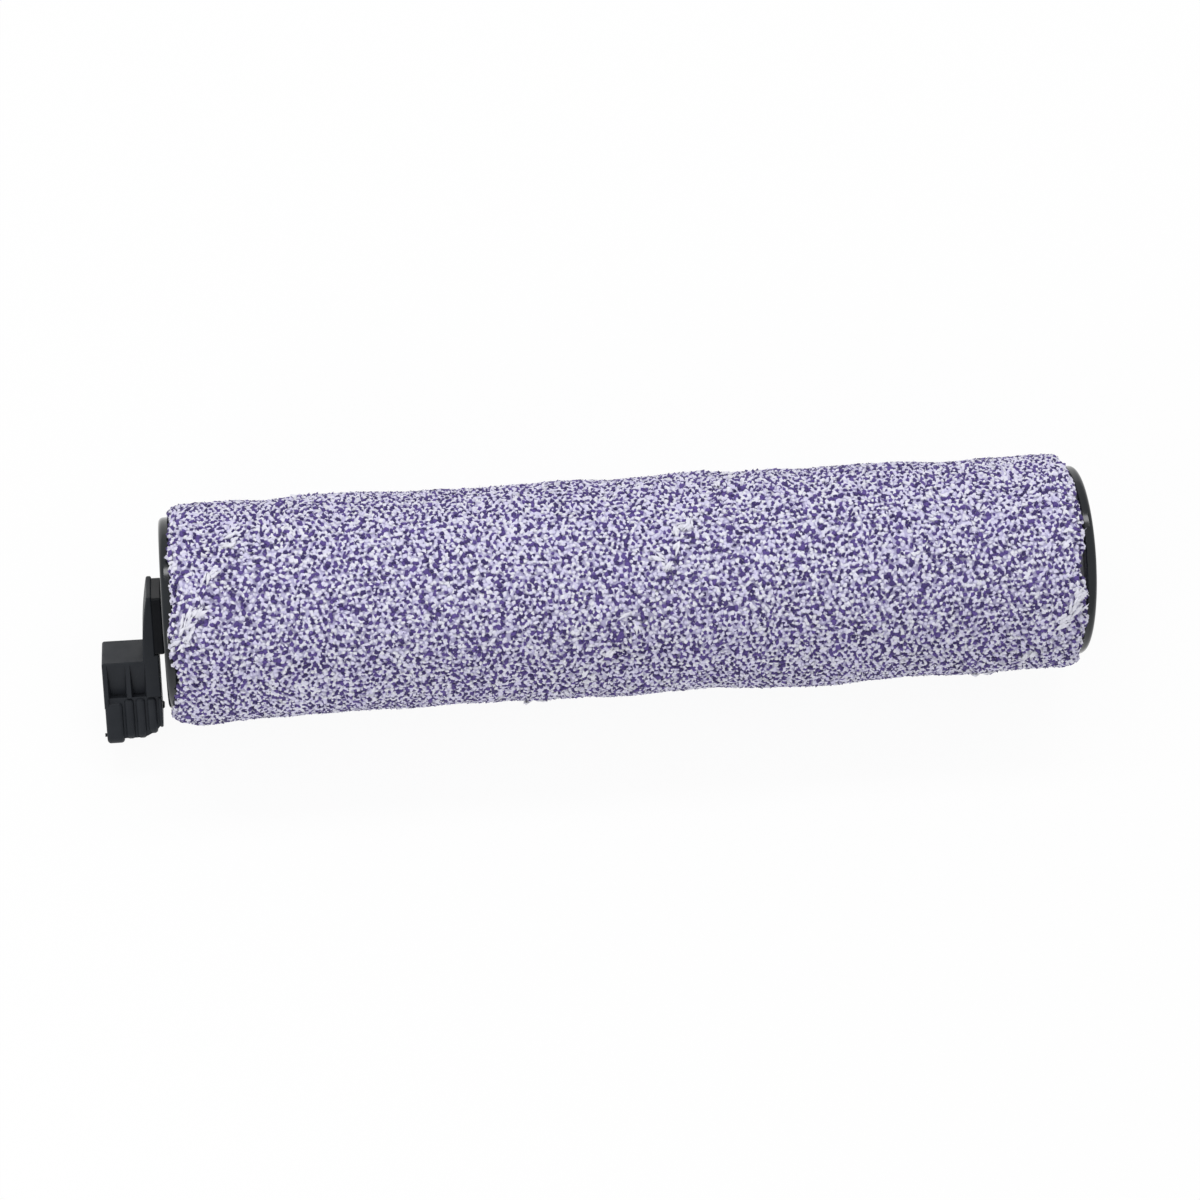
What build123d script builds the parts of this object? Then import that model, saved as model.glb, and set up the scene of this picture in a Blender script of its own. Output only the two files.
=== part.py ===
from build123d import *
import math
import os

os.makedirs("parts", exist_ok=True)

# Frame: X runs along the roll and out of its drive end, Z is up, the handle leans towards -Y.
# The origin is the middle of the drive socket's mouth, in the outer face of the drive end cap.
# All sizes are in millimetres, all angles in degrees.

# Roll
roll_length = 256.0  # outer face of one flange to outer face of the other
core_diameter = 44.0
core_wall = 2.0
pile_height = 8.0  # backing and pile together
pile_end_radius = 4.0
flat_depth = 0.8  # how far the soft pile is pressed in where the roll rests
glue_gap = 0.05

# Seam of the wound pile strip
seam_pitch = 124.5
seam_width = 2.2
seam_depth = 1.5
seam_floor = 0.3  # width of the groove at its bottom
seam_lip = 0.6  # how far the cutter stands out of the pile
seam_angle = 123.0  # place of the seam round the axis at the drive end

# End caps
flange_overlap = 4.5  # how far the flange stands out beyond the core
flange_width = 3.0
flange_edge_radius = 1.4  # outer edge of the flange
flange_back_radius = 0.5
spigot_length = 18.0
spigot_wall = 2.0
spigot_gap = 0.1
rib_count = 6
rib_width = 1.6
rib_step = 1.0  # how far a rib ends short of its hub
key_count = 3
key_width = 6.0
key_length = 4.0
key_gap = 0.1

# Drive socket
socket_diameter = 22.0
socket_depth = 16.0
socket_wall = 2.2
keyway_count = 4
keyway_width = 3.4
keyway_depth = 2.2
keyway_turn = 45.0

# Ball bearing
bearing_bore = 8.0
bearing_outer = 22.0
bearing_width = 7.0
ball_count = 7
ball_share = 0.567  # ball diameter as a share of the space between bore and outer diameter
land_share = 0.73  # distance of the lands from the ball circle, as a share of the ball radius
ball_gap = 0.05
shield_inset = 0.3
shield_thickness = 0.5
shield_gap = 0.3
shield_fit = 0.1
cage_gap = 0.25
ring_fit = 0.02
shoulder_width = 2.0
hub_wall = 2.5

# Felt seal, in the bearing's bore
seal_inset = 0.4
seal_thickness = 2.0
seal_gap = 0.12
seal_back_gap = 0.1  # between the seal and the bearing

# Axle
body_step = 0.55  # how far the axle's body stays inside the edge of the bearing's inner ring
head_step = 1.2
head_thickness = 1.2
head_flat_step = 0.25
head_gap = 0.05
spacer_thickness = 0.6
clip_thickness = 0.7
clip_groove = 1.0  # depth of the clip's groove
clip_gap = 0.05
clip_band = 1.57  # width of the clip's ring
clip_prong = 3.0  # width of a prong
clip_mouth = 4.5
axle_tail = 1.7

# Square key block between the handle and the roll
block_wall = 1.1  # least wall round the axle's head
block_gap = 0.4  # running gap to the flange
block_seat = 3.0  # where the block sits in the arm, from the outer face of the flange
block_drop = 1.3  # how much further the block reaches towards the grip
block_edge = 1.0

# Pull handle, measured from the roll axis and from the outer face of the flange
arm_rise = 0.5  # how far the arm stands above the block
arm_inner = 2.0
arm_top_width = 1.4
arm_root_width = 4.4
arm_bow = 0.45
grip_top = 10.7
grip_width = 15.8
grip_end = 36.0
edge_radius = 0.45
corner_radius = 0.7  # outer top corner of the grip
arm_end_radius = 0.5  # top corners of the arm
pocket_top = 11.3
pocket_shelf = 21.6
pocket_depth = 3.0
pocket_wall = 1.3
pocket_draft = 0.7
pocket_lip = 0.02  # depth of a pocket at its upper edge
pocket_overrun = 0.5  # how far the cutter runs past the shelf
pocket_run_in = 0.4  # how far the inner pocket reaches into the arm
middle_rib = 1.2
middle_rib_shift = 1.3  # how far the middle rib stands nearer to the roll
wall_bite = 1.0  # how far the outer wall reaches down behind the wide pad
ridge_height = 0.9
ridge_set_back = 0.06  # how far the ridges stay behind the walls above them
ridge_width = 2.6
ridge_pitch = 3.1
ridge_count = 3
ridge_radius = 1.0
ridge_slope = 0.6  # fall of a ridge's sloping top
ridge_shift = 0.3  # extra space between the wide pad and the first ridge
ridge_set_in = 1.1  # how far the ridges end short of the wide pad
pad_width = 4.9
pad_inset = 0.1  # how far the wide pad stays inside the outer wall
pad_drop = 1.9  # fall of the wide pad's sloping top
shoulder_radius = 1.0  # where a bar's sloping top meets its face
rim_width = 0.9
tip_radius = 3.0
tip_run = 6.5
tip_rise = 4.0  # how far the grip's end rises towards the roll
tip_steps = 10
stop_height = 0.6
stop_length = 2.6
stop_drop = 6.0  # below the shelf
gate_radius = 0.5  # moulding stub on the outer side
gate_height = 0.45
gate_drop = 11.7  # below the shelf
gate_inset = 2.3  # behind the grip's front face
floor_gap = 0.05

# Cutters run this far past the face that they cut.
over = 1.0

# Sizes that follow from those above
core_radius = core_diameter / 2
pile_radius = core_radius + pile_height
flange_radius = core_radius + flange_overlap
spigot_radius = core_radius - core_wall - spigot_gap
axis_height = pile_radius - flat_depth
bearing_near = seal_inset + seal_thickness + seal_back_gap
bearing_mid = bearing_near + bearing_width / 2
bearing_far = bearing_near + bearing_width
ball_radius = ball_share * (bearing_outer - bearing_bore) / 4
ball_circle = (bearing_outer + bearing_bore) / 4
inner_land = ball_circle - land_share * ball_radius
outer_land = ball_circle + land_share * ball_radius
journal_radius = bearing_bore / 2 - ring_fit
body_radius = inner_land - body_step
head_radius = body_radius + head_step
head_flat = body_radius + head_flat_step
block_half = head_radius + block_wall
arm_top = block_half + arm_rise
arm_outer = arm_inner + arm_root_width
grip_outer = arm_inner + grip_width
ridge_end = grip_end - ridge_set_in
half_depth = block_half

# The handle hangs on its bearing and leans until the back edge of its tip meets the floor.
lean_reach = math.hypot(grip_end - tip_radius, half_depth - tip_radius)
lean_drop = axis_height - tip_radius - floor_gap
lean_start = math.degrees(math.atan2(half_depth - tip_radius, grip_end - tip_radius))
lean = lean_start + math.degrees(math.acos(min(1.0, lean_drop / lean_reach)))


def face_of(plane, *lines):
    """Flat face on a plane from a closed run of lines."""
    return plane * make_face(Curve() + list(lines))


def turned(*corners):
    """Solid turned about the roll axis from (x, radius) corners."""
    return revolve(face_of(Plane.XZ, Polyline(*corners, close=True)), Axis.X)


def ring(x0, x1, inner, outer):
    """Plain ring on the roll axis between two stations."""
    return turned((x0, inner), (x1, inner), (x1, outer), (x0, outer))


def around(shape, count, start=0.0):
    """Copies of a shape, evenly spaced round the roll axis."""
    return [Rot(X=start + 360.0 * i / count) * shape for i in range(count)]


def block(x0, x1, y0, y1, z0, z1):
    """Box between two corners."""
    size = Box(x1 - x0, y1 - y0, z1 - z0)
    return Pos((x0 + x1) / 2, (y0 + y1) / 2, (z0 + z1) / 2) * size


def end_cap(bore_part):
    """Flange, spigot, ribs and keys of an end cap, with its outer face at x = 0 and its inside at +x."""
    flange = turned((0, 0), (flange_width, 0), (flange_width, flange_radius), (0, flange_radius))
    rims = flange.edges().filter_by(GeomType.CIRCLE).sort_by(SortBy.RADIUS)[-2:]
    flange = fillet(rims.sort_by(Axis.X)[0], flange_edge_radius)
    back = flange.edges().filter_by(GeomType.CIRCLE).group_by(Axis.X)[-1].sort_by(SortBy.RADIUS)[-1]
    flange = fillet(back, flange_back_radius)
    spigot_root = spigot_radius - spigot_wall / 2
    spigot = ring(flange_width / 2, flange_width + spigot_length, spigot_radius - spigot_wall, spigot_radius)
    lip = spigot.edges().filter_by(GeomType.CIRCLE).group_by(Axis.X)[-1].sort_by(SortBy.RADIUS)[-1]
    spigot = chamfer(lip, spigot_wall / 3)
    hub = bore_part.bounding_box().max
    rib = block(flange_width / 2, hub.X - rib_step, -rib_width / 2, rib_width / 2,
                hub.Z - rib_width / 2, spigot_root)
    key_top = math.sqrt((core_radius - spigot_gap) ** 2 - (key_width / 2) ** 2)
    key = block(flange_width / 2, flange_width + key_length, -key_width / 2, key_width / 2,
                spigot_root, key_top)
    return flange + bore_part + spigot + around(rib, rib_count) + around(key, key_count)


def drive_end_cap():
    """Cap at the driven end, with the keyed socket that slides over the cleaner's drive hub."""
    reach = socket_diameter / 2 + keyway_depth
    cup_radius = reach + socket_wall
    cup_end = socket_depth + socket_wall
    cap = end_cap(turned((0, 0), (cup_end, 0), (cup_end, cup_radius), (0, cup_radius)))
    cap -= ring(-over, socket_depth, 0, socket_diameter / 2)
    keyway = block(-over, socket_depth, -keyway_width / 2, keyway_width / 2, 0, reach)
    cap -= around(keyway, keyway_count, keyway_turn)
    return Rot(Z=180) * cap


def bearing_end_cap():
    """Cap at the handle end, with the seat for the ball bearing and its felt seal."""
    seat = bearing_outer / 2 + ring_fit
    hub_radius = seat + hub_wall
    shoulder = bearing_far + shoulder_width
    cap = end_cap(turned((0, 0), (shoulder, 0), (shoulder, hub_radius), (0, hub_radius)))
    cap -= ring(-over, bearing_far, 0, seat)
    cap -= ring(-over, shoulder + over, 0, outer_land)
    return Pos(X=-roll_length) * cap


def core_tube():
    """Tube that carries the pile, notched at both ends for the keys of the caps."""
    near = -flange_width
    far = flange_width - roll_length
    tube = ring(far, near, core_radius - core_wall, core_radius)
    reach = key_length + key_gap
    half = key_width / 2 + key_gap
    notch = block(-reach, over, -half, half, 0, core_radius + over)
    tube -= around(Pos(X=near) * notch, key_count)
    tube -= around(Pos(X=far) * Rot(Z=180) * notch, key_count)
    return tube


def seam_groove():
    """Cutter for the seam: a narrow vee along a helix, a little longer than the roll at both ends."""
    foot = Vector(-roll_length - seam_width, 0, 0)
    seam = Helix(seam_pitch, roll_length + 2 * seam_width, pile_radius, center=foot,
                 direction=(1, 0, 0), lefthand=True)
    start = Plane(origin=seam @ 0, x_dir=(seam @ 0) - foot, z_dir=seam % 0)
    half_floor = seam_floor / 2
    half = seam_width / 2
    half_lip = half + (half - half_floor) * seam_lip / seam_depth
    vee = Polyline((seam_lip, -half_lip), (-seam_depth, -half_floor), (-seam_depth, half_floor),
                   (seam_lip, half_lip), close=True)
    groove = sweep(face_of(start, vee), path=seam, is_frenet=True)
    turns = (roll_length + seam_width) / seam_pitch
    seam_start = math.degrees(math.atan2((seam @ 0).Z, (seam @ 0).Y))
    return Rot(X=seam_angle + 360.0 * turns - seam_start) * groove


def pile_sleeve():
    """Pile strip wound round the core: one helical seam, rounded ends and a flat where it rests."""
    near = -flange_width - glue_gap
    far = flange_width - roll_length + glue_gap
    sleeve = ring(far, near, core_radius + glue_gap, pile_radius)
    outer_edges = sleeve.edges().filter_by(GeomType.CIRCLE).sort_by(SortBy.RADIUS)[-2:]
    sleeve = fillet(outer_edges, pile_end_radius)
    groove = seam_groove()
    # The sleeve is the same at every turn, so it is turned until the cut along the seam is whole.
    for turn in range(0, 360, 15):
        wound = Rot(X=turn) * sleeve - groove
        if wound.is_valid and wound.volume < sleeve.volume - seam_depth * seam_width:
            break
    floor = block(far - over, near + over, -pile_radius, pile_radius, -pile_radius - over, -axis_height)
    return wound - floor


def on_bearing(shape):
    """Moves a shape built about the bearing's middle to its place in the handle end."""
    return Pos(X=bearing_mid - roll_length) * shape


def race():
    """Ring-shaped space that the balls run in."""
    return Rot(Y=90) * Torus(ball_circle, ball_radius + ball_gap)


def bearing_outer_ring():
    """Outer ring with its ball groove and a recess on each side for a shield."""
    half = bearing_width / 2
    body = ring(-half, half, outer_land, bearing_outer / 2)
    mouth = ring(half - shield_inset - shield_thickness, half + over, 0, outer_land + shield_thickness)
    body -= mouth
    body -= mirror(mouth, Plane.YZ)
    return on_bearing(body - race())


def bearing_inner_ring():
    """Inner ring with its ball groove."""
    half = bearing_width / 2
    return on_bearing(ring(-half, half, bearing_bore / 2, inner_land) - race())


def bearing_shield(side):
    """Shield held in the outer ring and just clear of the inner ring."""
    outside = bearing_width / 2 - shield_inset
    edge = outer_land + shield_thickness - shield_fit
    disc = ring(outside - shield_thickness, outside, inner_land + shield_gap, edge)
    return on_bearing(disc if side > 0 else mirror(disc, Plane.YZ))


def bearing_balls():
    """The balls, on their circle."""
    return on_bearing(Compound(around(Pos(Z=ball_circle) * Sphere(ball_radius), ball_count)))


def bearing_cage():
    """Moulded ring with one pocket for each ball."""
    half = bearing_width / 2 - shield_inset - shield_thickness - cage_gap
    body = ring(-half, half, inner_land + 2 * cage_gap, outer_land - 2 * cage_gap)
    pocket = Pos(Z=ball_circle) * Cylinder(ball_radius + 2 * ball_gap, bearing_outer / 2)
    return on_bearing(body - around(pocket, ball_count))


def on_handle(shape):
    """Moves a shape built on an upright handle to the roll's end and leans it with the handle."""
    return Rot(X=-lean) * Pos(X=-roll_length) * shape


def head_shape(x0, x1, gap):
    """Axle head: a disc with two flats."""
    flat = head_flat + gap
    reach = head_radius + gap + over
    return ring(x0, x1, 0, head_radius + gap) & block(x0, x1, -flat, flat, -reach, reach)


def axle():
    """Steel stub axle: flat-sided head held in the key block, body, bearing journal and clip groove."""
    groove = bearing_far + spacer_thickness
    groove_end = groove + clip_thickness + 2 * clip_gap
    head_end = -block_seat + head_thickness - head_gap
    pin = ring(0, groove_end + axle_tail, 0, journal_radius)
    tip = pin.edges().filter_by(GeomType.CIRCLE).sort_by(Axis.X)[-1]
    pin = chamfer(tip, clip_thickness)
    pin += ring(head_end, bearing_near, 0, body_radius)
    pin += head_shape(-block_seat + head_gap, head_end, 0)
    pin -= ring(groove, groove_end, journal_radius - clip_groove, bearing_bore)
    return on_handle(pin)


def key_block():
    """Square block that keys into the cleaner's head and holds the axle against the arm."""
    body = block(-block_seat, -block_gap, -block_half, block_half, -block_half - block_drop, block_half)
    body = fillet(body.edges().filter_by(Axis.X), block_edge)
    body = fillet(body.faces().sort_by(Axis.X)[-1].edges(), edge_radius)
    body -= ring(-block_seat - over, over, 0, body_radius + head_gap)
    body -= head_shape(-block_seat - over, -block_seat + head_thickness, head_gap)
    return on_handle(body)


def spacer_washer():
    """Washer between the bearing's inner ring and the retaining ring."""
    end = bearing_far + spacer_thickness
    washer = ring(bearing_far, end, journal_radius + clip_gap, inner_land - clip_gap)
    return Pos(X=-roll_length) * washer


def retaining_ring():
    """Open clip with three prongs, seated in the axle's groove."""
    seat = journal_radius - clip_groove + clip_gap
    outline = Circle(inner_land) - Circle(inner_land - clip_band)
    prong_end = inner_land - clip_band / 2
    prong = Pos((seat + prong_end) / 2) * Rectangle(prong_end - seat, clip_prong)
    for turn in (0, 120, 240):
        outline += Rot(Z=turn) * prong
    outline -= Pos(-inner_land) * Rectangle(2 * inner_land, clip_mouth)
    outline -= Circle(seat)
    station = bearing_far + spacer_thickness + clip_gap
    clip = extrude(Plane.YZ.offset(station) * outline, clip_thickness)
    return on_handle(clip)


def felt_seal():
    """Felt ring that keeps hair and water out of the bearing."""
    outside = bearing_outer / 2 - ring_fit
    felt = ring(seal_inset, seal_inset + seal_thickness, body_radius + seal_gap, outside)
    return Pos(X=-roll_length) * felt


def grip_bar(x0, x1, slope, end):
    """Rounded bar that runs from the shelf down one face of the grip, round its end and up the other face."""
    outer = half_depth - ridge_set_back
    inner = half_depth - pocket_depth
    top = -pocket_shelf
    corners = ((-inner, top), (-outer, top - slope), (-outer, -end), (outer, -end), (outer, top - slope),
               (inner, top))
    radii = [0, shoulder_radius, tip_radius, tip_radius, shoulder_radius, 0]
    outline = FilletPolyline(*corners, radius=radii, close=True)
    bar = extrude(Plane.YZ.offset(x0) * make_face(outline), x1 - x0)
    rims = bar.faces().filter_by(Axis.X).edges()
    return fillet(rims, min(ridge_radius, 0.4 * (x1 - x0)))


def tip_at(x):
    """Reach of the ridges at a station: level at the outside, rounding up towards the roll."""
    t = max(0.0, (x + arm_inner + tip_run) / tip_run)
    return ridge_end - tip_rise * t * t


def wedge(x0, x1):
    """Cutter for a pocket: nothing deep at its top, deepest at the shelf, with sloping side walls."""
    spread = pocket_draft / pocket_depth

    def slice_at(z, depth):
        draft = spread * depth
        face = -half_depth - over
        corners = ((x0 - spread * over, face), (x1 + spread * over, face),
                   (x1 - draft, depth - half_depth), (x0 + draft, depth - half_depth))
        return Plane.XY.offset(z) * make_face(Polyline(*corners, close=True))

    rate = pocket_depth / (pocket_shelf - pocket_top)
    deepest = slice_at(-pocket_shelf - pocket_overrun, pocket_depth + pocket_overrun * rate)
    return loft([deepest, slice_at(-pocket_top, pocket_lip)], ruled=True)


def handle_arm():
    """Bowed plate arm with the seat for the key block, and the pocketed walls of the grip below it."""
    half_way = (arm_outer + block_seat + arm_top_width) / 2
    bow = ThreePointArc((-block_seat - arm_top_width, arm_top),
                        (-half_way - arm_bow, (arm_top - grip_top) / 2),
                        (-arm_outer, -grip_top))
    foot = block_half + block_drop
    wall_foot = pocket_shelf + pad_drop + wall_bite
    side = Polyline((-arm_outer, -grip_top), (-grip_outer, -grip_top), (-grip_outer, -wall_foot),
                    (-grip_outer + pocket_wall, -wall_foot), (-grip_outer + pocket_wall, -pocket_shelf),
                    (-arm_inner, -pocket_shelf), (-arm_inner, -foot), (-block_seat, -foot),
                    (-block_seat, arm_top), (-block_seat - arm_top_width, arm_top))
    arm = extrude(face_of(Plane.XZ, bow, side), half_depth, both=True)
    corners = arm.edges().filter_by(Axis.Y).sort_by(Axis.Z)
    arm = fillet(corners[-2:], arm_end_radius)
    corners = arm.edges().filter_by(Axis.Y).sort_by(Axis.X)
    arm = fillet(corners[:2].sort_by(Axis.Z)[-1], corner_radius)
    arm = fillet(arm.faces().filter_by(Axis.Y).edges(), edge_radius)
    rib_at = middle_rib_shift - (grip_outer + arm_outer) / 2
    outer_pocket = wedge(-grip_outer + pocket_wall, rib_at - middle_rib / 2)
    inner_pocket = wedge(rib_at + middle_rib / 2, -arm_outer + pocket_run_in)
    for cut in (outer_pocket, inner_pocket):
        arm -= cut
        arm -= mirror(cut, Plane.XZ)
    return arm


def grip_core():
    """Body of the grip below the shelf, set in by the height of the ridges."""
    outside = -grip_outer + ridge_height
    steps = [outside + i * (grip_width - ridge_height) / tip_steps for i in range(tip_steps + 1)]
    end_line = [(x, ridge_height - tip_at(x)) for x in steps]
    low = Polyline((outside, -pocket_shelf), *end_line, (-arm_inner, -pocket_shelf), close=True)
    return extrude(face_of(Plane.XZ, low), half_depth - ridge_height, both=True)


def pull_handle():
    """One moulding: arm, grip, wide outer pad, ridges, rim beside the roll and a small stop."""
    handle = handle_arm() + grip_core()
    pad_end = pad_width - grip_outer
    handle += grip_bar(pad_inset - grip_outer, pad_end, pad_drop, grip_end)
    for i in range(ridge_count):
        x = pad_end + ridge_shift + (i + 0.5) * ridge_pitch
        handle += grip_bar(x - ridge_width / 2, x + ridge_width / 2, ridge_slope, tip_at(x))
    rim = -arm_inner - rim_width
    handle += grip_bar(rim, -arm_inner, ridge_slope, tip_at(rim))
    stop = Rot(X=90) * Cylinder(stop_height, stop_length)
    handle += Pos(-arm_inner, 0, -pocket_shelf - stop_drop) * stop
    gate = ring(-grip_outer - gate_height, -grip_outer + ridge_height + over, 0, gate_radius)
    handle += Pos(Y=gate_inset - half_depth, Z=-pocket_shelf - gate_drop) * gate
    return on_handle(handle)


def save(shape, node):
    """Writes one piece as a STEP file."""
    export_step(shape, f"parts/{node}.step")


save(pile_sleeve(), "pile_sleeve")
save(core_tube(), "core_tube")
save(drive_end_cap(), "drive_end_cap")
save(bearing_end_cap(), "bearing_end_cap")
save(felt_seal(), "felt_seal")
save(bearing_outer_ring(), "bearing_outer_ring")
save(bearing_inner_ring(), "bearing_inner_ring")
save(bearing_balls(), "bearing_balls")
save(bearing_cage(), "bearing_cage")
save(bearing_shield(-1), "bearing_shield_outer")
save(bearing_shield(1), "bearing_shield_inner")
save(axle(), "axle")
save(spacer_washer(), "spacer_washer")
save(retaining_ring(), "retaining_ring")
save(key_block(), "key_block")
save(pull_handle(), "pull_handle")
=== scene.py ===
import math

import bpy
import numpy as np
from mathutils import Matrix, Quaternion, Vector


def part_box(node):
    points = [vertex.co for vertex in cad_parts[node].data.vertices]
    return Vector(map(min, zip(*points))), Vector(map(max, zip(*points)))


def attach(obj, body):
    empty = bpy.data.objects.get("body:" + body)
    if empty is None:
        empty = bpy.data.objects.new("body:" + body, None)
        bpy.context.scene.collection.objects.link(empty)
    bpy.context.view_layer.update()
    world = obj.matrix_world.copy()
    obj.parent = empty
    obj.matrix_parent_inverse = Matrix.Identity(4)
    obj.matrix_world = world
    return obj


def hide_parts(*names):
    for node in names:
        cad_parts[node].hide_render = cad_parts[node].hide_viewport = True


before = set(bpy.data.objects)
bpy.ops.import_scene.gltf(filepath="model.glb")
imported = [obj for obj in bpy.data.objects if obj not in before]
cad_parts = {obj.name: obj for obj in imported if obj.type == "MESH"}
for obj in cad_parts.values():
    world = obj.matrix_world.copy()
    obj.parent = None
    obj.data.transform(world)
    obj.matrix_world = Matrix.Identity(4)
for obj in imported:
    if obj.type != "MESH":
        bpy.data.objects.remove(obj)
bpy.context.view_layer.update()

# All places and sizes are in metres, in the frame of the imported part: X along the roll, Z up.
MM = 0.001
TURN = 2 * math.pi
draw = np.random.default_rng(29)

# Camera
camera_place = Vector((-0.23306, -0.37203, 1.04662))
camera_target = Vector((-0.13535, -0.00361, 0.0))
camera_roll = math.radians(10.59)
camera_lens = 120.17
sensor_width = 36.0

# Lamps, sky and floor
key_place = (-0.10, 0.72, 1.20)
key_aim = (-0.13, 0.0, 0.0)
key_size = (1.5, 0.2)
key_power = 7.5
fill_place = (-0.45, -0.35, 0.30)
fill_aim = (-0.265, -0.01, 0.0)
fill_size = (0.15, 0.15)
fill_power = 0.35
sky_strength = 0.71
floor_half = 3.0
floor_grey = 0.9
floor_roughness = 0.9
floor_glow = 0.93

# Sleeve, whose outline is a straight run that rounds off at both ends
pile_low, pile_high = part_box("pile_sleeve")
pile_radius = pile_high.z
floor_z = pile_low.z
core_radius = 22.05 * MM
tuft_height = 1.7 * MM
end_depth = 5.0 * MM
end_drop = 2.9 * MM
end_overhang = 0.9 * MM
round_depth = end_depth - tuft_height
round_drop = end_drop - tuft_height
round_length = math.pi / 2 * math.hypot(round_depth, round_drop) / math.sqrt(2)
straight_start = pile_low.x - end_overhang + end_depth
straight_length = pile_high.x - pile_low.x + 2 * end_overhang - 2 * end_depth
outline_length = straight_length + 2 * round_length

# Cloth under the tufts: share of their height that it reaches, at the sides and at the ends, and its grid
cloth_rise = 0.55 * tuft_height
cloth_end_share = 0.15
cloth_rows = 140
cloth_columns = 120

# Seam: a groove between two low banks, with tufts brushed along it
seam_pitch = 124.5 * MM
seam_angle = math.radians(123.0)
seam_slope = math.cos(math.atan2(seam_pitch, TURN * pile_radius))
seam_turn = math.atan2(TURN * pile_radius, seam_pitch)
groove_depth = 0.4 * MM
groove_half = 1.3 * MM
bank_height = 0.35 * MM
bank_place = 4 * MM
bank_half = 2 * MM
brushed_half = 1.6 * MM
brushed_edge = (0.3, 1.3)

# Slow waves over the pile: waves round the roll, length along it, size and start
height_waves = (
    (2, 0.071, 0.20 * MM, 0.3),
    (3, 0.047, 0.16 * MM, 2.1),
    (5, 0.031, 0.14 * MM, 4.0),
    (9, 0.019, 0.10 * MM, 1.2),
    (14, 0.011, 0.07 * MM, 5.1),
)

# The same for the direction in which the tufts lean, and for the drift of the violet places
lean_waves = ((2, 0.053, 2.2, 0.0), (5, -0.029, 1.9, 1.0), (11, 0.017, 1.2, 2.0))
drift_waves = ((3, 0.061, 1.3, 0.0), (7, -0.037, 1.3, 2.0))

# Swellings of the pile: place along the roll, angle round it, height and spread
swellings = (
    (-0.107, math.radians(20), 0.9 * MM, 9 * MM),
    (-0.080, math.radians(200), 0.9 * MM, 16 * MM),
    (-0.244, math.radians(203), 1.7 * MM, 12 * MM),
)

# Uneven ends of the pile: how far in they reach, and waves round the roll with their sizes
spill_depth = 8 * MM
spill_waves = ((7, 0.35 * MM), (17, 0.35 * MM), (41, 0.30 * MM))

# Places where the pile spills over an end or draws back: side, angle, reach and spread of the angle
spills = (
    (-1, math.radians(20), -0.9 * MM, math.radians(38)),
    (-1, math.radians(122), 0.7 * MM, math.radians(12)),
    (-1, math.radians(150), -0.6 * MM, math.radians(12)),
    (-1, math.radians(198), 2.3 * MM, math.radians(20)),
    (1, math.radians(45), -2.0 * MM, math.radians(38)),
    (1, math.radians(113), -3.0 * MM, math.radians(13)),
    (1, math.radians(164), -1.4 * MM, math.radians(14)),
    (1, math.radians(198), 0.5 * MM, math.radians(16)),
)

# Places of the tufts, and how the violet ones are spread: mostly on every third place, and not crowded
row_gap = 0.87 * MM
tuft_gap = 1.09 * MM
place_shift = 0.33
violet_share = 0.385
knot_step = 3
knot_shift = 2
knot_weight = 0.85
crowd_rounds = 4
crowd_reach = 2
crowd_cost = 0.02

# One tuft: a ragged flake, with the limits of its ring's reach, rise and first angle
most_tufts = 17000
tuft_sides = 5
ring_reach = (0.6, 1.4)
ring_rise = (-0.18, 0.12)
ring_angle = (0, 6.3)
least_bend = 0.01
fibre_softness = 0.5
tuft_waist = 0.8
strand_waist = 0.5

# Tufts of the pile: lengths as shares of their height, widths, bends and scatter of the lean
violet_length = (0.98, 1.10)
white_length = (0.94, 1.10)
violet_width = (0.62 * MM, 0.90 * MM)
white_width = (0.58 * MM, 0.82 * MM)
tuft_bend = (0.2, 1.2)
lean_scatter = 1.0
brushed_stretch = 1.5
brushed_bend = (1.0, 1.5)
brushed_scatter = 0.5

# Tufts round the rim at each end
rim_tufts = 420
rim_shift = 0.4
rim_sink = 0.4 * MM
rim_rise = (-0.35 * MM, 0.5 * MM)
rim_length = (1.3 * MM, 2.0 * MM)
rim_width = (0.45 * MM, 0.70 * MM)
rim_bend = (0.3, 1.0)
rim_violet = 0.36

# Wisps along the seam, each of a few strands, with more of them at the two ends of the strip
seam_wisps = 90
end_wisps = 8
end_turns = 0.05
end_margin = 3 * MM
wisp_angle_scatter = 0.045
wisp_run_scatter = 0.9 * MM
wisp_lean_scatter = 0.45
wisp_violet = 0.15
wisp_strands = 4
strand_angle_scatter = 0.014
strand_run_scatter = 0.35 * MM
strand_lean_scatter = 0.16
strand_lift = (0.95, 1.1)
strand_climb = 0.2
strand_length = (2.4 * MM, 4.6 * MM)
strand_width = (0.34 * MM, 0.60 * MM)
strand_bend = (0.2, 0.45)
strand_palest = 0.8

# Single fibres
fuzz_fibres = 400
fuzz_length = (2.0 * MM, 2.7 * MM)
fuzz_width = (0.07 * MM, 0.13 * MM)
fuzz_bend = (0.2, 1.3)


def unit(vectors):
    """Vectors of length one."""
    return vectors / np.linalg.norm(vectors, axis=-1, keepdims=True)


def turned(theta, angle):
    """Angle from a place on the roll, at most half a turn either way."""
    return np.mod(theta - angle + math.pi, TURN) - math.pi


def waves(x, theta, table):
    """Sum of slow waves over the pile."""
    total = np.zeros_like(x)
    for count, length, size, start in table:
        total += size * np.sin(count * theta + TURN * x / length + start)
    return total


def seam_distance(x, theta):
    """Distance from the nearest turn of the seam, measured across it."""
    at = (seam_angle - theta) / TURN * seam_pitch
    along = np.mod(x - at + seam_pitch / 2, seam_pitch) - seam_pitch / 2
    return along * seam_slope


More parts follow.
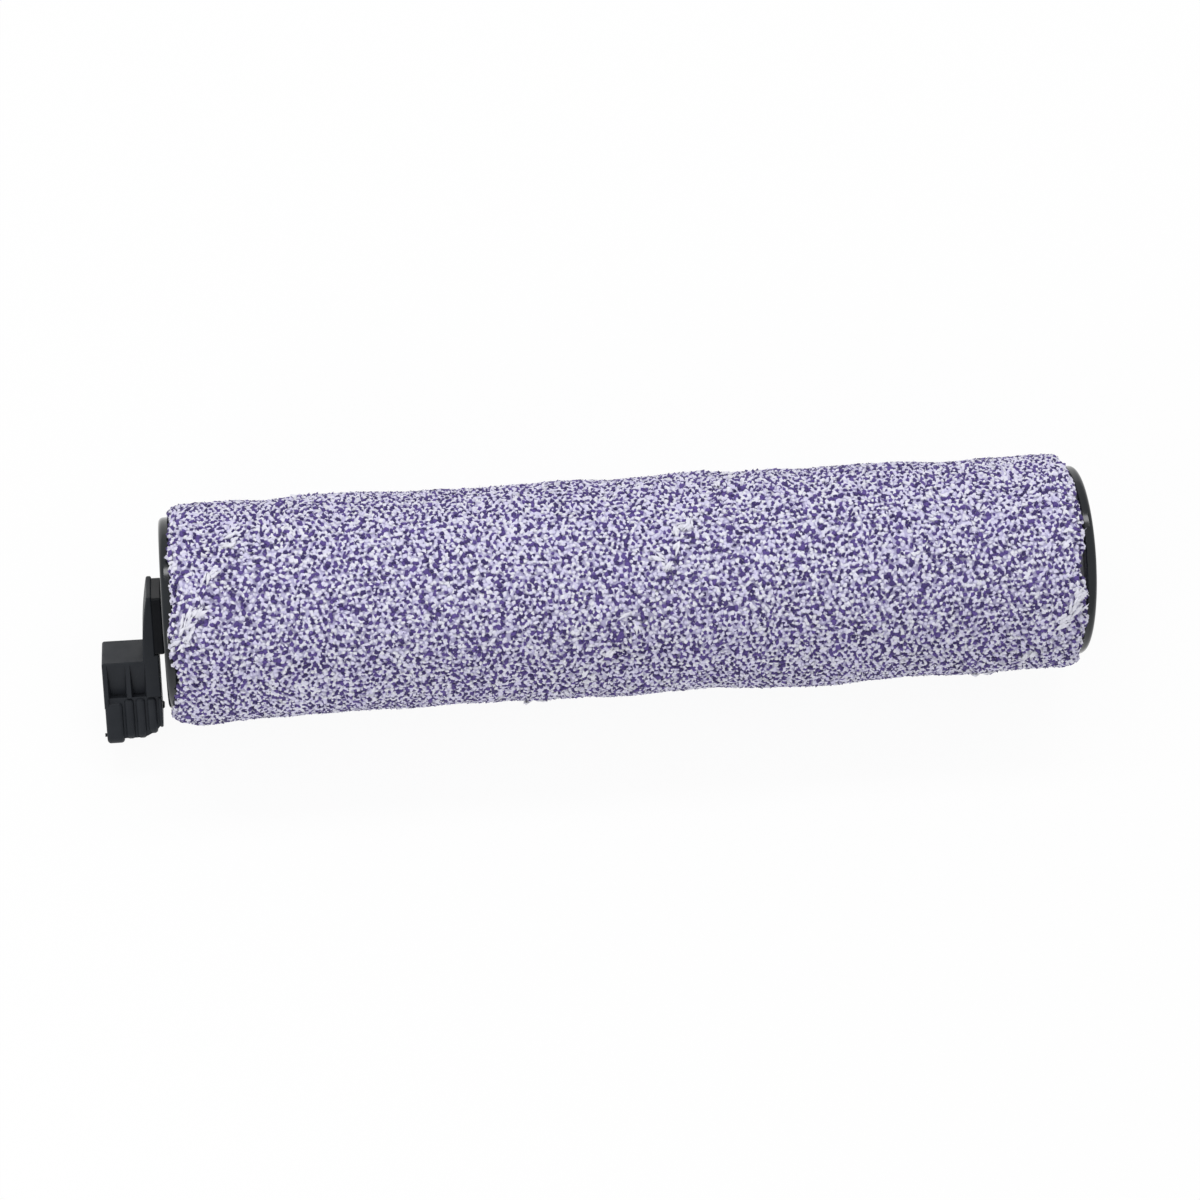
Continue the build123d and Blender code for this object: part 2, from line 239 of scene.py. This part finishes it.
def unevenness(x, theta):
    """How far the pile stands out of, or falls short of, a true cylinder."""
    height = waves(x, theta, height_waves)
    for place, angle, size, spread in swellings:
        round_it = turned(theta, angle) * pile_radius
        height += size * np.exp(-((x - place) ** 2 + round_it ** 2) / spread ** 2)
    across = seam_distance(x, theta)
    height += bank_height * np.exp(-(np.abs(across) - bank_place) ** 2 / bank_half ** 2)
    height -= groove_depth * np.exp(-across ** 2 / groove_half ** 2)
    return height


def spill(side, theta):
    """How much further than usual the pile reaches over one end."""
    reach = np.zeros_like(theta)
    for order, (count, size) in enumerate(spill_waves, 1):
        reach += size * np.sin(count * theta + order * side)
    for at, angle, size, spread in spills:
        if at == side:
            reach += size * np.exp(-(turned(theta, angle) / spread) ** 2)
    return reach


def profile(run, theta):
    """Station, radius and outward direction at a distance along the outline."""
    past_end = np.clip((run - round_length - straight_length) / round_length, 0, 1)
    before_start = np.clip((round_length - run) / round_length, 0, 1)
    turn = (past_end - before_start) * math.pi / 2
    x = straight_start + np.clip(run - round_length, 0, straight_length) + round_depth * np.sin(turn)
    for side, end in ((-1, pile_low.x), (1, pile_high.x)):
        near = np.clip(1 - np.abs(x - end) / spill_depth, 0, 1)
        x = x + side * near ** 2 * spill(side, theta)
    radius = pile_radius - end_drop + (round_drop + unevenness(x, theta)) * np.cos(turn)
    out = unit(np.stack([np.sin(turn) / round_depth, np.cos(turn) / round_drop], -1))
    return x, radius, out[..., 0], out[..., 1]


def tuft_places():
    """Roots of the tufts in staggered rows, each shifted at random, and which of them are violet."""
    rows = int(outline_length / row_gap)
    in_row = int(TURN * pile_radius / tuft_gap)
    row, column = np.meshgrid(np.arange(rows), np.arange(in_row), indexing="ij")
    run = (row + 0.5 + draw.uniform(-place_shift, place_shift, row.shape)) * row_gap
    theta = (column + 0.5 * (row % 2) + draw.uniform(-place_shift, place_shift, row.shape)) * TURN / in_row
    drift = np.floor(waves(pile_low.x + run, theta, drift_waves)).astype(int)
    knot = np.mod(column - row // 2 + knot_shift * row + drift, knot_step) == 0
    score = draw.random(row.shape) + knot_weight * knot
    violet = score > np.quantile(score, 1 - violet_share)
    near = range(-crowd_reach, crowd_reach + 1)
    for _ in range(crowd_rounds):
        crowd = sum(np.roll(violet, (i, j), (0, 1)).astype(float) for i in near for j in near)
        score = score - crowd_cost * (crowd - crowd.mean())
        violet = score > np.quantile(score, 1 - violet_share)
    return run.ravel(), theta.ravel(), violet.ravel()


def tuft_frames(run, theta):
    """Root, outward direction and the two directions along the cloth for each tuft."""
    x, radius, out_x, out_r = profile(run, theta)
    cos, sin = np.cos(theta), np.sin(theta)
    root = np.stack([x, radius * cos, radius * sin], 1)
    out = np.stack([out_x, out_r * cos, out_r * sin], 1)
    around = np.stack([np.zeros_like(x), -sin, cos], 1)
    along = np.cross(around, out)
    return root, out, along, around


def leaning(along, around, lean):
    """Direction along the cloth, at an angle from the roll's length."""
    return along * np.cos(lean)[:, None] + around * np.sin(lean)[:, None]


def tuft_vertices(root, out, side, length, width, bend, waist):
    """A bent, closed, ragged flake for each tuft: a root point, a ring at its widest and a tip."""
    count = len(root)
    across = np.cross(out, side)
    bend = np.maximum(bend, least_bend)[:, None]
    length = length[:, None]

    def middle(t):
        return root + length / bend * (out * np.sin(bend * t) + side * (1 - np.cos(bend * t)))

    axis = out * np.cos(bend * waist) + side * np.sin(bend * waist)
    facing = np.cross(across, axis)
    angles = np.arange(tuft_sides) * TURN / tuft_sides + draw.uniform(*ring_angle, (count, 1))
    reach = width[:, None] * draw.uniform(*ring_reach, (count, tuft_sides))
    rise = length * draw.uniform(*ring_rise, (count, tuft_sides))
    ring = (middle(waist)[:, None, :] + (reach * np.cos(angles))[..., None] * across[:, None, :]
            + (reach * np.sin(angles))[..., None] * facing[:, None, :] + rise[..., None] * axis[:, None, :])
    return np.concatenate([middle(0.0)[:, None, :], ring, middle(1.0)[:, None, :]], 1)


def tuft_normals(vertices, out):
    """Directions that the light meets: between the flake's own and the cloth's, as on a mass of fibres."""
    own = unit(vertices - vertices.mean(1, keepdims=True))
    return unit((1 - fibre_softness) * own + fibre_softness * out[:, None, :])


def tuft_faces(count):
    """Triangles of the flakes."""
    ring = 1 + np.arange(tuft_sides)
    following = np.roll(ring, -1)
    tip = tuft_sides + 1
    none = np.zeros(tuft_sides, int)
    one = np.concatenate([np.stack([none, ring, following], 1), np.stack([ring, none + tip, following], 1)])
    return (one[None] + np.arange(count)[:, None, None] * (tip + 1)).reshape(-1, 3)


def mesh_object(name, vertices, triangles, material):
    """New smooth object from arrays."""
    mesh = bpy.data.meshes.new(name)
    mesh.vertices.add(len(vertices))
    mesh.vertices.foreach_set("co", vertices.astype(np.float32).ravel())
    mesh.loops.add(triangles.size)
    mesh.loops.foreach_set("vertex_index", triangles.astype(np.int32).ravel())
    mesh.polygons.add(len(triangles))
    mesh.polygons.foreach_set("loop_start", np.arange(0, triangles.size, 3, dtype=np.int32))
    mesh.polygons.foreach_set("use_smooth", np.ones(len(triangles), bool))
    mesh.update(calc_edges=True)
    mesh.validate()
    mesh.materials.append(material)
    piece = bpy.data.objects.new(name, mesh)
    bpy.context.scene.collection.objects.link(piece)
    return piece


def pile_piece(piece):
    """Lets a piece of the pile stand for the plain sleeve and turn with the roll."""
    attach(piece, "roll")
    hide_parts("pile_sleeve")


def press_flat(vertices):
    """Keeps the pile on the floor, where the roll's weight flattens it."""
    vertices[:, 2] = np.maximum(vertices[:, 2], floor_z)
    return vertices


def add_tufts(name, material, root, out, side, length, width, bend, facing, waist, palest=0.0):
    """Tufts of one colour, in as many pieces as their number needs."""
    order = np.argsort(root[:, 0])
    parts = np.array_split(order, math.ceil(len(order) / most_tufts))
    for i, part in enumerate(parts):
        flakes = tuft_vertices(root[part], out[part], side[part], length[part], width[part], bend[part],
                               waist)
        tint = np.repeat(draw.uniform(palest, 1, len(part)), flakes.shape[1])
        light = tuft_normals(flakes, facing[part])
        vertices = press_flat(flakes.reshape(-1, 3))
        piece = mesh_object(f"{name}_{i + 1}", vertices, tuft_faces(len(part)), material)
        piece.data.normals_split_custom_set_from_vertices(light.reshape(-1, 3).tolist())
        layer = piece.data.attributes.new("tint", "FLOAT", "POINT")
        layer.data.foreach_set("value", tint.astype(np.float32))
        pile_piece(piece)


def add_both_colours(stem, violet, tufts, waist, palest=0.0):
    """White tufts, then violet ones, from arrays that hold both."""
    for colour, material, chosen in (("white", white_yarn, ~violet), ("violet", violet_yarn, violet)):
        add_tufts(f"{stem}_{colour}", material, *(values[chosen] for values in tufts), waist, palest)


def shader(name):
    """New material with its Principled shader."""
    material = bpy.data.materials.new(name)
    material.use_nodes = True
    return material, material.node_tree, material.node_tree.nodes["Principled BSDF"]


def noise(tree, scale, detail=3.0, roughness=0.55):
    """Noise in the object's own coordinates."""
    coordinates = tree.nodes.new("ShaderNodeTexCoord")
    texture = tree.nodes.new("ShaderNodeTexNoise")
    texture.inputs["Scale"].default_value = scale
    texture.inputs["Detail"].default_value = detail
    texture.inputs["Roughness"].default_value = roughness
    tree.links.new(coordinates.outputs["Object"], texture.inputs["Vector"])
    return texture.outputs["Fac"]


def own_tint(tree):
    """The tint that each tuft's points carry."""
    attribute = tree.nodes.new("ShaderNodeAttribute")
    attribute.attribute_name = "tint"
    return attribute.outputs["Fac"]


def ramp(tree, factor, *stops):
    """Colours along a factor, from (position, colour) stops."""
    node = tree.nodes.new("ShaderNodeValToRGB")
    for element, (position, colour) in zip(node.color_ramp.elements, stops):
        element.position = position
        element.color = (*colour, 1.0)
    tree.links.new(factor, node.inputs["Fac"])
    return node.outputs["Color"]


def bump(tree, bsdf, height, strength, distance):
    """Fine relief from a height."""
    node = tree.nodes.new("ShaderNodeBump")
    node.inputs["Strength"].default_value = strength
    node.inputs["Distance"].default_value = distance
    tree.links.new(height, node.inputs["Height"])
    tree.links.new(node.outputs["Normal"], bsdf.inputs["Normal"])


def mottle(tree, bsdf, dark, light, roughness, colour_scale, gloss_scale):
    """Faintly mottled colour and uneven gloss."""
    colour = ramp(tree, noise(tree, colour_scale), (0.3, dark), (0.7, light))
    tree.links.new(colour, bsdf.inputs["Base Color"])
    low, high = roughness
    gloss = ramp(tree, noise(tree, gloss_scale), (0.25, (low,) * 3), (0.75, (high,) * 3))
    tree.links.new(gloss, bsdf.inputs["Roughness"])


def yarn(name, pale, deep, sheen, tufted=True):
    """Microfibre yarn with fine fibres: each tuft has its own tint, and plain cloth is mottled."""
    material, tree, bsdf = shader(name)
    tint = own_tint(tree) if tufted else noise(tree, scale=700)
    colour = ramp(tree, tint, (0.0, deep), (1.0, pale))
    tree.links.new(colour, bsdf.inputs["Base Color"])
    bsdf.inputs["Roughness"].default_value = 0.9
    bsdf.inputs["Specular IOR Level"].default_value = 0.15
    bsdf.inputs["Sheen Weight"].default_value = sheen
    bsdf.inputs["Sheen Roughness"].default_value = 0.4
    fibres = noise(tree, scale=2600, detail=4.0, roughness=0.6)
    bump(tree, bsdf, fibres, strength=0.5, distance=0.3 * MM)
    return material


def moulded(name, dark, light, roughness, grain, shine=0.18):
    """Moulded plastic or pressed felt, with a fine grain."""
    material, tree, bsdf = shader(name)
    mottle(tree, bsdf, dark, light, roughness, colour_scale=90, gloss_scale=160)
    bsdf.inputs["Specular IOR Level"].default_value = shine
    bump(tree, bsdf, noise(tree, scale=5200, detail=2.0), strength=grain, distance=0.04 * MM)
    return material


def metal(name, dark, light, roughness):
    """Ground steel, with a fine grain."""
    material, tree, bsdf = shader(name)
    mottle(tree, bsdf, dark, light, roughness, colour_scale=400, gloss_scale=900)
    bsdf.inputs["Metallic"].default_value = 1.0
    bump(tree, bsdf, noise(tree, scale=3000, detail=2.0), strength=0.15, distance=0.02 * MM)
    return material


def dress(material, *nodes):
    """Gives CAD nodes their finish."""
    for node in nodes:
        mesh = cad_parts[node].data
        mesh.materials.clear()
        mesh.materials.append(material)


white_yarn = yarn("white_yarn", pale=(0.86, 0.86, 0.935), deep=(0.69, 0.66, 0.89), sheen=0.25)
violet_yarn = yarn("violet_yarn", pale=(0.135, 0.094, 0.32), deep=(0.054, 0.041, 0.135), sheen=0.10)
cloth_yarn = yarn("cloth_yarn", pale=(0.68, 0.65, 0.86), deep=(0.50, 0.47, 0.70), sheen=0.2, tufted=False)

handle_plastic = moulded("handle_plastic", dark=(0.019, 0.022, 0.027), light=(0.027, 0.030, 0.036),
                         roughness=(0.40, 0.52), grain=0.35, shine=0.13)
# Key block: near black, darker than the handle. The black is partly the block's own plastic and partly
# painted shade of the narrow gap between the arm and the flange.
block_plastic = moulded("block_plastic", dark=(0.006, 0.007, 0.009), light=(0.010, 0.011, 0.014),
                        roughness=(0.30, 0.40), grain=0.1, shine=0.1)
cap_plastic = moulded("cap_plastic", dark=(0.006, 0.008, 0.011), light=(0.010, 0.013, 0.016),
                      roughness=(0.10, 0.15), grain=0.03, shine=0.40)
core_plastic = moulded("core_plastic", dark=(0.42, 0.43, 0.45), light=(0.50, 0.51, 0.53),
                       roughness=(0.45, 0.6), grain=0.3)
cage_plastic = moulded("cage_plastic", dark=(0.50, 0.38, 0.22), light=(0.60, 0.47, 0.28),
                       roughness=(0.4, 0.55), grain=0.2)
felt = moulded("felt", dark=(0.20, 0.20, 0.21), light=(0.32, 0.32, 0.33), roughness=(0.9, 1.0), grain=1.0)

bearing_steel = metal("bearing_steel", dark=(0.55, 0.56, 0.58), light=(0.66, 0.67, 0.69),
                      roughness=(0.22, 0.34))
ball_steel = metal("ball_steel", dark=(0.70, 0.71, 0.73), light=(0.78, 0.79, 0.81), roughness=(0.06, 0.12))
axle_steel = metal("axle_steel", dark=(0.52, 0.53, 0.55), light=(0.62, 0.63, 0.65), roughness=(0.28, 0.4))
clip_steel = metal("clip_steel", dark=(0.16, 0.16, 0.17), light=(0.24, 0.24, 0.25), roughness=(0.35, 0.5))

dress(handle_plastic, "pull_handle")
dress(block_plastic, "key_block")
dress(cap_plastic, "drive_end_cap", "bearing_end_cap")
dress(core_plastic, "core_tube")
dress(cage_plastic, "bearing_cage")
dress(felt, "felt_seal")
dress(bearing_steel, "bearing_outer_ring", "bearing_inner_ring")
dress(bearing_steel, "bearing_shield_outer", "bearing_shield_inner")
dress(ball_steel, "bearing_balls")
dress(axle_steel, "axle", "spacer_washer")
dress(clip_steel, "retaining_ring")


def make_cloth():
    """Cloth that the tufts stand on, closed round the core."""
    runs = np.linspace(0, outline_length, cloth_rows)
    turns = np.arange(cloth_columns) * TURN / cloth_columns
    run, theta = np.meshgrid(runs, turns, indexing="ij")
    x, radius, out_x, out_r = profile(run, theta)
    x = x + cloth_end_share * out_x * cloth_rise
    radius = radius + out_r * cloth_rise
    first, last = np.maximum(x[0], pile_low.x), np.minimum(x[-1], pile_high.x)
    inner, lip = np.full_like(turns, core_radius), np.full_like(turns, pile_radius - end_drop)
    x = np.vstack([first, first, x, last, last])
    radius = np.vstack([inner, lip, radius, lip, inner])
    theta = np.vstack([turns, turns, theta, turns, turns])
    vertices = np.stack([x, radius * np.cos(theta), radius * np.sin(theta)], -1)
    rows, columns = x.shape
    index = np.arange(rows * columns).reshape(rows, columns)
    next_row, next_column = np.roll(index, -1, 0), np.roll(index, -1, 1)
    corner = np.roll(next_row, -1, 1)
    triangles = np.concatenate([
        np.stack([index, corner, next_row], -1).reshape(-1, 3),
        np.stack([index, next_column, corner], -1).reshape(-1, 3),
    ])
    cloth = mesh_object("pile_cloth", press_flat(vertices.reshape(-1, 3)), triangles, cloth_yarn)
    pile_piece(cloth)


def make_pile():
    """White and violet tufts all over the cloth."""
    run, theta, violet = tuft_places()
    root, out, along, around = tuft_frames(run, theta)
    count = len(run)
    lean = waves(root[:, 0], theta, lean_waves) + draw.normal(0, lean_scatter, count)
    from_seam = np.abs(seam_distance(root[:, 0], theta))
    brushed = from_seam < brushed_half * draw.uniform(*brushed_edge, count)
    lean = np.where(brushed, seam_turn + draw.normal(0, brushed_scatter, count), lean)
    side = leaning(along, around, lean)
    share = np.where(violet, draw.uniform(*violet_length, count), draw.uniform(*white_length, count))
    length = tuft_height * share * np.where(brushed, brushed_stretch, 1.0)
    width = np.where(violet, draw.uniform(*violet_width, count), draw.uniform(*white_width, count))
    bend = np.where(brushed, draw.uniform(*brushed_bend, count), draw.uniform(*tuft_bend, count))
    add_both_colours("pile", violet, (root, out, side, length, width, bend, out), tuft_waist)


def make_edges():
    """Tufts round the rim of the pile at both ends, close to the flanges."""
    for end, run in (("left", 0.0), ("right", outline_length)):
        theta = (np.arange(rim_tufts) + draw.uniform(-rim_shift, rim_shift, rim_tufts)) * TURN / rim_tufts
        root, out, _, _ = tuft_frames(np.full(rim_tufts, run), theta)
        radial = np.stack([np.zeros(rim_tufts), np.cos(theta), np.sin(theta)], 1)
        root = root - rim_sink * out + radial * draw.uniform(*rim_rise, (rim_tufts, 1))
        length = draw.uniform(*rim_length, rim_tufts)
        width = draw.uniform(*rim_width, rim_tufts)
        bend = draw.uniform(*rim_bend, rim_tufts)
        violet = draw.random(rim_tufts) < rim_violet
        facing = (out + radial) / math.sqrt(2)
        add_both_colours(f"edge_{end}", violet, (root, out, radial, length, width, bend, facing), tuft_waist)


def make_wisps():
    """Brushed strands that lie on the pile along the seam."""
    turns = (pile_high.x - pile_low.x) / seam_pitch
    place = np.concatenate([
        draw.uniform(0, turns, seam_wisps),
        draw.uniform(0, end_turns, end_wisps),
        turns - draw.uniform(0, end_turns, end_wisps),
    ])
    wisps = len(place)
    theta = seam_angle + TURN * place + draw.normal(0, wisp_angle_scatter, wisps)
    run = outline_length - place * seam_pitch + draw.normal(0, wisp_run_scatter, wisps)
    run = np.clip(run, end_margin, outline_length - end_margin)
    lean = seam_turn + math.pi * draw.integers(0, 2, wisps) + draw.normal(0, wisp_lean_scatter, wisps)
    violet = np.repeat(draw.random(wisps) < wisp_violet, wisp_strands)
    count = wisp_strands * wisps
    theta = np.repeat(theta, wisp_strands) + draw.normal(0, strand_angle_scatter, count)
    run = np.repeat(run, wisp_strands) + draw.normal(0, strand_run_scatter, count)
    lean = np.repeat(lean, wisp_strands) + draw.normal(0, strand_lean_scatter, count)
    root, out, along, around = tuft_frames(run, theta)
    root = root + out * tuft_height * draw.uniform(*strand_lift, (count, 1))
    start = unit(leaning(along, around, lean) + strand_climb * out)
    down = unit(np.cross(start, np.cross(start, out)))
    length = draw.uniform(*strand_length, count)
    width = draw.uniform(*strand_width, count)
    bend = draw.uniform(*strand_bend, count)
    strands = (root, start, down, length, width, bend, out)
    add_both_colours("wisps", violet, strands, strand_waist, strand_palest)


def make_fuzz():
    """Single fibres that stand out of the pile."""
    run = draw.uniform(0, outline_length, fuzz_fibres)
    theta = draw.uniform(0, TURN, fuzz_fibres)
    root, out, along, around = tuft_frames(run, theta)
    side = leaning(along, around, draw.uniform(0, TURN, fuzz_fibres))
    length = draw.uniform(*fuzz_length, fuzz_fibres)
    width = draw.uniform(*fuzz_width, fuzz_fibres)
    bend = draw.uniform(*fuzz_bend, fuzz_fibres)
    add_tufts("fuzz", white_yarn, root, out, side, length, width, bend, out, strand_waist)


def larger(tree, first, second):
    """The larger of two values."""
    node = tree.nodes.new("ShaderNodeMath")
    node.operation = "MAXIMUM"
    tree.links.new(first, node.inputs[0])
    tree.links.new(second, node.inputs[1])
    return node.outputs[0]


def floor_material():
    """White that glows for the rays that see it, so that it stays white and keeps a soft shadow."""
    material, tree, bsdf = shader("floor_white")
    bsdf.inputs["Base Color"].default_value = (floor_grey, floor_grey, floor_grey, 1)
    bsdf.inputs["Roughness"].default_value = floor_roughness
    glow = tree.nodes.new("ShaderNodeEmission")
    path = tree.nodes.new("ShaderNodeLightPath")
    seen = larger(tree, path.outputs["Is Camera Ray"], path.outputs["Is Glossy Ray"])
    seen = larger(tree, seen, path.outputs["Is Transmission Ray"])
    share = tree.nodes.new("ShaderNodeMath")
    share.operation = "MULTIPLY"
    share.inputs[1].default_value = floor_glow
    tree.links.new(seen, share.inputs[0])
    mix = tree.nodes.new("ShaderNodeMixShader")
    tree.links.new(share.outputs[0], mix.inputs["Fac"])
    tree.links.new(bsdf.outputs["BSDF"], mix.inputs[1])
    tree.links.new(glow.outputs["Emission"], mix.inputs[2])
    tree.links.new(mix.outputs[0], tree.nodes["Material Output"].inputs["Surface"])
    return material


def make_floor():
    """Plain white floor under the roll."""
    corners = [(x * floor_half, y * floor_half, floor_z) for x, y in ((-1, -1), (1, -1), (1, 1), (-1, 1))]
    mesh = bpy.data.meshes.new("floor")
    mesh.from_pydata(corners, [], [(0, 1, 2, 3)])
    mesh.materials.append(floor_material())
    floor = bpy.data.objects.new("floor", mesh)
    bpy.context.scene.collection.objects.link(floor)


def add_lamp(name, place, aim, size, power):
    """Soft rectangular lamp that faces its aim."""
    data = bpy.data.lights.new(name, "AREA")
    data.shape = "RECTANGLE"
    data.size, data.size_y = size
    data.energy = power
    lamp = bpy.data.objects.new(name, data)
    lamp.location = place
    lamp.rotation_euler = (Vector(aim) - Vector(place)).to_track_quat("-Z", "Y").to_euler()
    bpy.context.scene.collection.objects.link(lamp)


def make_light():
    """Long key lamp above and behind the roll, a small fill by the handle, and an even sky."""
    add_lamp("key", key_place, key_aim, key_size, key_power)
    add_lamp("fill", fill_place, fill_aim, fill_size, fill_power)
    world = bpy.data.worlds.new("studio")
    world.use_nodes = True
    world.node_tree.nodes["Background"].inputs["Color"].default_value = (1, 1, 1, 1)
    world.node_tree.nodes["Background"].inputs["Strength"].default_value = sky_strength
    bpy.context.scene.world = world


def make_camera():
    """Camera at the photograph's viewing angle."""
    data = bpy.data.cameras.new("camera")
    data.lens = camera_lens
    data.sensor_width = sensor_width
    camera = bpy.data.objects.new("camera", data)
    camera.location = camera_place
    look = (camera_target - camera_place).to_track_quat("-Z", "Y")
    camera.rotation_euler = (look @ Quaternion((0, 0, 1), camera_roll)).to_euler()
    bpy.context.scene.collection.objects.link(camera)
    bpy.context.scene.camera = camera
    bpy.context.scene.view_settings.view_transform = "Standard"


make_cloth()
make_pile()
make_edges()
make_wisps()
make_fuzz()
make_floor()
make_light()
make_camera()
